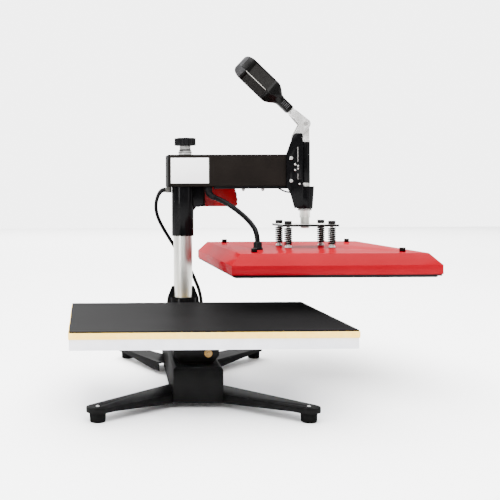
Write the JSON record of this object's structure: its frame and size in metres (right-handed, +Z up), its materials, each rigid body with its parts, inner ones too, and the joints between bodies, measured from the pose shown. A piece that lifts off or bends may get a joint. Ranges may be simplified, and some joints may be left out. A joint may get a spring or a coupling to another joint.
{
  "type": "swing-away heat press",
  "caption": "Swing-away heat press: a long toggle lever presses a heated platen, hung from an arm that pivots on a post, onto a padded bed.",
  "frame": {"origin": "centre of the machine's footprint at the level the rubber feet stand on, without the mains cord", "axes": "+Z up; the arm points along +X, swung out to the side, and the bed lies towards -Y, the operator's side"},
  "size_m": [0.7416, 0.857, 0.7061],
  "materials": {
    "black_gloss": "gloss powder coat",
    "black_satin": "satin black",
    "red_paint": "gloss enamel",
    "chrome": "polished",
    "steel": "zinc plated",
    "cast_aluminium": "cast, machined faces",
    "nonstick_black": "dark non-stick coating",
    "bearing_bronze": "plain bearing bronze",
    "rubber_black": "matt",
    "silicone_foam": "open-cell silicone foam",
    "insulation": "mineral fibre board",
    "black_plastic": "moulded, fine grain",
    "panel_grey": "plain membrane panel",
    "dark_window": "smoked window",
    "label_white": "bare printed-label blank"
  },
  "bodies": {
    "base": {"base_spine": "black_gloss", "leg_front_left": "black_gloss", "leg_front_right": "black_gloss", "leg_rear_left": "black_gloss", "leg_rear_right": "black_gloss", "foot_front_left": "rubber_black", "foot_front_right": "rubber_black", "foot_rear_left": "rubber_black", "foot_rear_right": "rubber_black", "base_fasteners": "steel", "bed_pedestal": "black_gloss", "bed_plate": "cast_aluminium", "bed_foam": "silicone_foam", "bed_mat": "rubber_black", "post_socket": "black_gloss", "post": "chrome", "mains_cord": "rubber_black", "cord_coil": "rubber_black", "mains_plug": "black_plastic"},
    "arm": {"arm_tube": "black_satin", "arm_end_cap": "black_plastic", "post_sleeve": "black_gloss", "sleeve_bushes": "bearing_bronze", "knob_collar": "steel", "rating_plate": "label_white", "cheek_near": "black_gloss", "cheek_far": "black_gloss", "cheek_bolts": "chrome", "guide_housing": "black_gloss", "guide_bush": "chrome", "link_pin": "chrome", "control_back": "black_satin", "control_hood": "red_paint", "control_panel": "panel_grey", "display_window": "dark_window", "supply_gland": "black_plastic", "conduit_gland": "black_plastic", "heater_conduit": "rubber_black"},
    "knob": {"knob_stud": "steel", "clamp_knob": "black_plastic"},
    "ram": {"ram_rod": "chrome", "ram_sleeve": "black_gloss", "ram_clevis": "steel", "spring_plate": "steel"},
    "lever": {"lever_fork": "steel", "lever_pin": "chrome", "lever_bar": "steel", "lever_grip": "black_plastic"},
    "links": {"toggle_links": "steel"},
    "platen": {"platen_cover": "red_paint", "heat_plate": "nonstick_black", "insulation_board": "insulation", "spring_bolts": "black_satin", "pressure_springs": "steel", "cover_screws": "black_satin", "platen_gland": "black_plastic"},
    "set_key": {"button_set": "black_plastic"},
    "down_key": {"button_down": "black_plastic"},
    "up_key": {"button_up": "black_plastic"},
    "rocker": {"power_rocker": "black_plastic"}
  },
  "joints": [
    {"name": "arm_swing", "type": "hinge", "parent": "base", "child": "arm", "pos_m": [-0.11925, 0.11946, 0.45], "axis": [0, 0, 1], "range_deg": [-90, 30]},
    {"name": "knob_turn", "type": "hinge", "parent": "arm", "child": "knob", "pos_m": [-0.11325, 0.11946, 0.5], "axis": [0, 0, 1], "range_deg": [-180, 180]},
    {"name": "ram_press", "type": "slide", "parent": "arm", "child": "ram", "axis": [0, 0, -1], "range_m": [0, 0.0674]},
    {"name": "lever_pull", "type": "hinge", "parent": "ram", "child": "lever", "pos_m": [0.15975, 0.11946, 0.553], "axis": [0, 1, 0], "range_deg": [0, 165.49]},
    {"name": "link_swing", "type": "hinge", "parent": "arm", "child": "links", "pos_m": [0.13975, 0.11946, 0.43], "axis": [0, 1, 0], "range_deg": [0, 19.63]},
    {"name": "platen_float", "type": "slide", "parent": "ram", "child": "platen", "axis": [0, 0, 1], "range_m": [0, 0.008], "stiffness_N_per_m": 8000, "springref_m": -0.02, "deforming": ["pressure_springs"]},
    {"name": "set_press", "type": "slide", "parent": "arm", "child": "set_key", "axis": [-0.9781, 0, -0.2083], "range_m": [0, 0.0015], "stiffness_N_per_m": 300, "springref_m": -0.001},
    {"name": "down_press", "type": "slide", "parent": "arm", "child": "down_key", "axis": [-0.9781, 0, -0.2083], "range_m": [0, 0.0015], "stiffness_N_per_m": 300, "springref_m": -0.001},
    {"name": "up_press", "type": "slide", "parent": "arm", "child": "up_key", "axis": [-0.9781, 0, -0.2083], "range_m": [0, 0.0015], "stiffness_N_per_m": 300, "springref_m": -0.001},
    {"name": "rocker_tip", "type": "hinge", "parent": "arm", "child": "rocker", "pos_m": [-0.08025, 0.23346, 0.42], "axis": [1, 0, 0], "range_deg": [-12, 0]}
  ],
  "couplings": [
    {"joint": "lever_pull", "follows": "ram_press", "rad_per_m": 42.852},
    {"joint": "link_swing", "follows": "ram_press", "rad_per_m": 5.0798}
  ]
}
